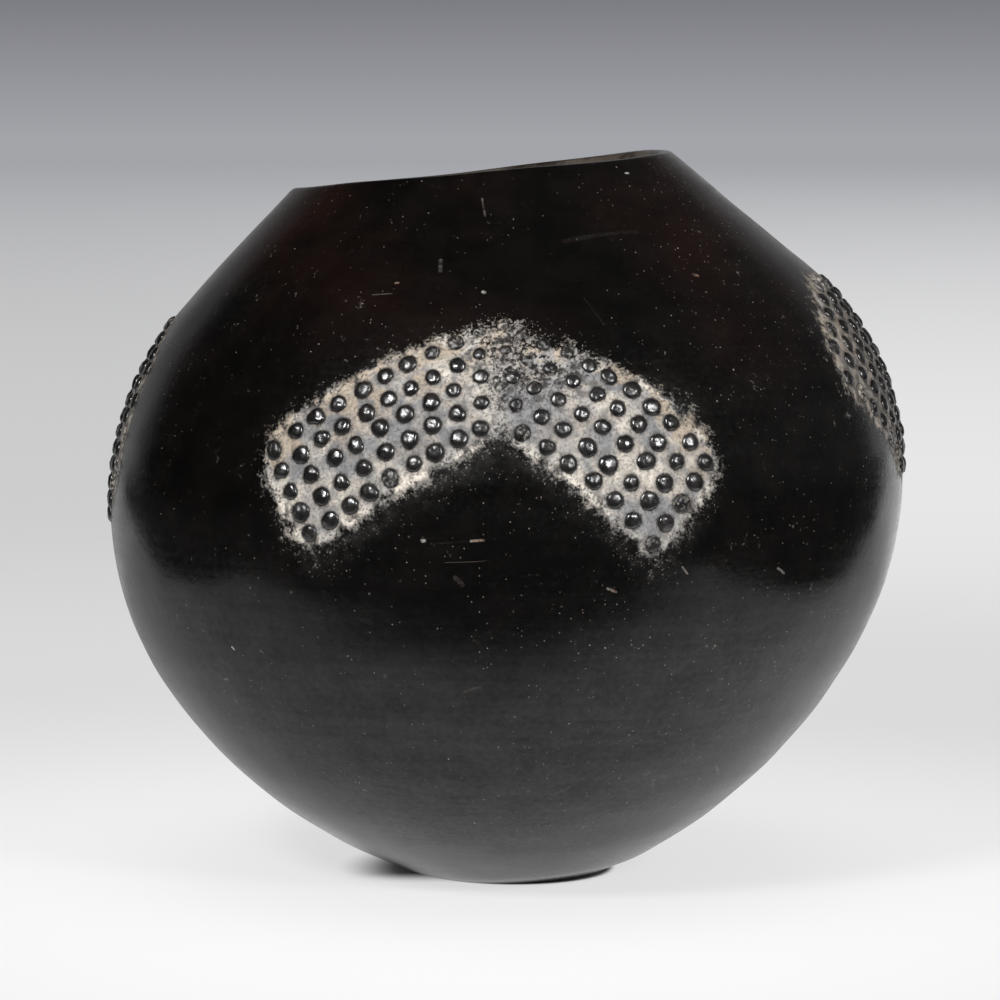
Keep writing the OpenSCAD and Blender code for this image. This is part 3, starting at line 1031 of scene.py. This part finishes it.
def floor_seen(sh, parts, far, path):
    """Colour of the floor's glow, with painted falloff of light: white close to the pot, dimming with distance
    and more on the left. Reflections see its far right end as white.
    """
    distance = sh.math("LOGARITHM", far, 10.0)
    side = sh.ramp(sh.math("DIVIDE", parts["X"], far), -0.15, 0.15)
    pale = sh.mix(sh.ramp(distance, -0.85, -0.2), WHITE, FLOOR_FALLOFF_MIDDLE)
    pale = sh.mix(sh.ramp(distance, -0.25, 0.25), pale, sh.mix(side, FLOOR_FALLOFF_LEFT, FLOOR_FALLOFF_RIGHT))
    pale = sh.mix(sh.ramp(distance, 0.2, 1.7), pale, HORIZON)
    flank = sh.times(path["Is Glossy Ray"], sh.times(sh.ramp(parts["Y"], *SHEET_BACK), side))
    return sh.mix(flank, pale, WHITE)


def floor_glow(sh, parts, far, path):
    """Share of the floor that shows its colour without shadows, which is none in the pot's close shadow."""
    seen = sh.most(path["Is Camera Ray"], path["Is Glossy Ray"])
    glow = sh.times(seen, sh.ramp(far, 0.25, 1.1, SHADOWLESS, 1.0))
    under = sh.times(sh.ramp(parts["Y"], -0.035, -0.012), sh.ramp(far, 0.07, 0.045))
    under = sh.times(under, sh.ramp(parts["X"], 0.015, -0.01))
    under = sh.most(under, sh.ramp(far, 0.0385, 0.035))
    return sh.times(glow, sh.minus(1.0, under))


def floor_unlit(sh, parts, far, path):
    """Share of darkness that reflections see past the pale sheet's edges, and a little on it."""
    slant = sh.plus(parts["Y"], sh.times(sh.most(parts["X"], 0.0), SHEET_SLANT))
    front = sh.ramp(slant, SHEET_FRONT + SHEET_FADE, SHEET_FRONT - SHEET_FADE)
    flare = sh.times(sh.most(parts["Y"], 0.0), sh.ramp(parts["X"], -0.1, 0.1, *SHEET_FLARES))
    aside = sh.minus(sh.math("ABSOLUTE", sh.minus(parts["X"], SHEET_MIDDLE)), flare)
    beside = sh.ramp(aside, SHEET_SIDE - SHEET_FADE / 2, SHEET_SIDE + SHEET_FADE / 2)
    dimmer = sh.most(
        sh.ramp(parts["X"], 0.12, -0.3, DIM_MIDDLE, DIM_LEFT),
        sh.ramp(parts["X"], 0.05, 0.4, DIM_MIDDLE, DIM_RIGHT),
    )
    dimmer = sh.times(dimmer, sh.ramp(far, 0.06, 0.13))
    dimmer = sh.times(dimmer, sh.minus(1.0, sh.times(sh.ramp(parts["Y"], *SHEET_BACK), 0.7)))
    return sh.times(path["Is Glossy Ray"], sh.most(sh.most(front, beside), dimmer))


def floor_material():
    """Pale floor. Reflections see it as a sheet with a front edge and side edges."""
    material, sh = new_material("floor_sheet")
    parts = sh.parts(sh.add("ShaderNodeNewGeometry").outputs["Position"])
    far = sh.math("SQRT", sh.plus(sh.math("POWER", parts["X"], 2.0), sh.math("POWER", parts["Y"], 2.0)))
    path = sh.add("ShaderNodeLightPath").outputs
    lit = sh.add("ShaderNodeBsdfDiffuse", Color=FLOOR_PAINT).outputs["BSDF"]
    glow = sh.add("ShaderNodeEmission", Color=floor_seen(sh, parts, far, path)).outputs["Emission"]
    dark = sh.add("ShaderNodeEmission", Color=WHITE, Strength=STUDIO_DARK).outputs["Emission"]
    pale = sh.blend(floor_glow(sh, parts, far, path), lit, glow)
    surface = sh.blend(floor_unlit(sh, parts, far, path), pale, dark)
    sh.add("ShaderNodeOutputMaterial", Surface=surface)
    return material


def make_floor():
    mesh = bpy.data.meshes.new("floor")
    corner = FLOOR_REACH
    mesh.from_pydata(
        [(-corner, -corner, 0), (corner, -corner, 0), (corner, corner, 0), (-corner, corner, 0)],
        [], [(0, 1, 2, 3)],
    )
    mesh.materials.append(floor_material())
    floor = bpy.data.objects.new("floor", mesh)
    bpy.context.scene.collection.objects.link(floor)


def make_world():
    """Pale grey behind the pot. Reflections see a lit backdrop behind it and a dark studio elsewhere."""
    world = bpy.data.worlds.new("studio")
    world.use_nodes = True
    sh = Shader(world.node_tree)
    toward = sh.parts(sh.add("ShaderNodeTexCoord").outputs["Generated"])
    seen = sh.mix(sh.ramp(toward["Z"], 0.0, 0.035, kind="LINEAR"), HORIZON, SKY)
    left = sh.ramp(toward["X"], 0.1, -0.1)
    edge = sh.minus(toward["Y"], sh.times(left, 0.07))
    backdrop = sh.times(sh.ramp(edge, 0.56, 0.70), sh.ramp(toward["Z"], 0.55, 0.0, kind="LINEAR"))
    studio = sh.mix(sh.ramp(toward["X"], -0.5, 0.9), STUDIO_LEFT, STUDIO_RIGHT)
    studio = sh.mix(sh.ramp(toward["X"], 0.82, 0.98), studio, STUDIO_FAR_RIGHT)
    mirrored = sh.mix(backdrop, studio, sh.mix(left, BACKDROP_RIGHT, BACKDROP_LEFT))
    path = sh.add("ShaderNodeLightPath").outputs
    plain = sh.mix(path["Is Glossy Ray"], STUDIO_LIGHT, mirrored)
    colour = sh.mix(path["Is Camera Ray"], plain, seen)
    sh.add("ShaderNodeOutputWorld", Surface=sh.add("ShaderNodeBackground", Color=colour).outputs["Background"])
    bpy.context.scene.world = world


def make_lamp(name, at, aim, size, power, mirrored):
    """Soft square lamp, with or without its mirror image in the pot."""
    data = bpy.data.lights.new(name, "AREA")
    data.shape = "SQUARE"
    data.size = size
    data.energy = power
    lamp = bpy.data.objects.new(name, data)
    lamp.location = at
    lamp.rotation_euler = (Vector(aim) - Vector(at)).to_track_quat("-Z", "Y").to_euler()
    lamp.visible_glossy = mirrored
    lamp.visible_camera = False
    bpy.context.scene.collection.objects.link(lamp)


def make_camera():
    data = bpy.data.cameras.new("camera")
    data.sensor_fit = "HORIZONTAL"
    data.sensor_width = SENSOR
    data.lens = LENS
    data.clip_end = 4 * FLOOR_REACH
    camera = bpy.data.objects.new("camera", data)
    camera.location = CAMERA_AT
    camera.rotation_euler = (math.pi / 2 - CAMERA_DOWN, 0, 0)
    bpy.context.scene.collection.objects.link(camera)
    bpy.context.scene.camera = camera


def make_stage():
    make_floor()
    make_world()
    for name, at, size, power, mirrored in LAMPS:
        make_lamp(name, at, (0, 0, BELLY_Z), size, power, mirrored)
    make_camera()
    bpy.context.scene.view_settings.view_transform = "Standard"


def make_pot():
    clay, pellet_clay = clay_material(), pellet_material()
    places = {node: pellet_places(node) for node in PELLET_NODES}
    pellets, worn = np.concatenate(list(places.values())), worn_places(places)
    skin = Skin(pellets, worn)
    rings = {"base_pad": skin.base_pad()}
    for i, node in enumerate(COILS):
        rings[node] = skin.coil(i)
    for node, ring in rings.items():
        marks = {name: np.concatenate(values) for name, values in ring.marks.items()}
        points = np.concatenate(ring.points)
        make_piece(node + "_skin", points, ring.faces, ring.normals, marks, clay, node)
    for seed, node in enumerate(PELLET_NODES):
        extra_grime = SIDE_GRIME if "side" in node else 0.0
        points, faces, marks = pellet_mesh(places[node], pellets, worn, seed, extra_grime)
        make_piece(node + "_domes", points, faces, None, marks, pellet_clay, node)


make_pot()
make_stage()
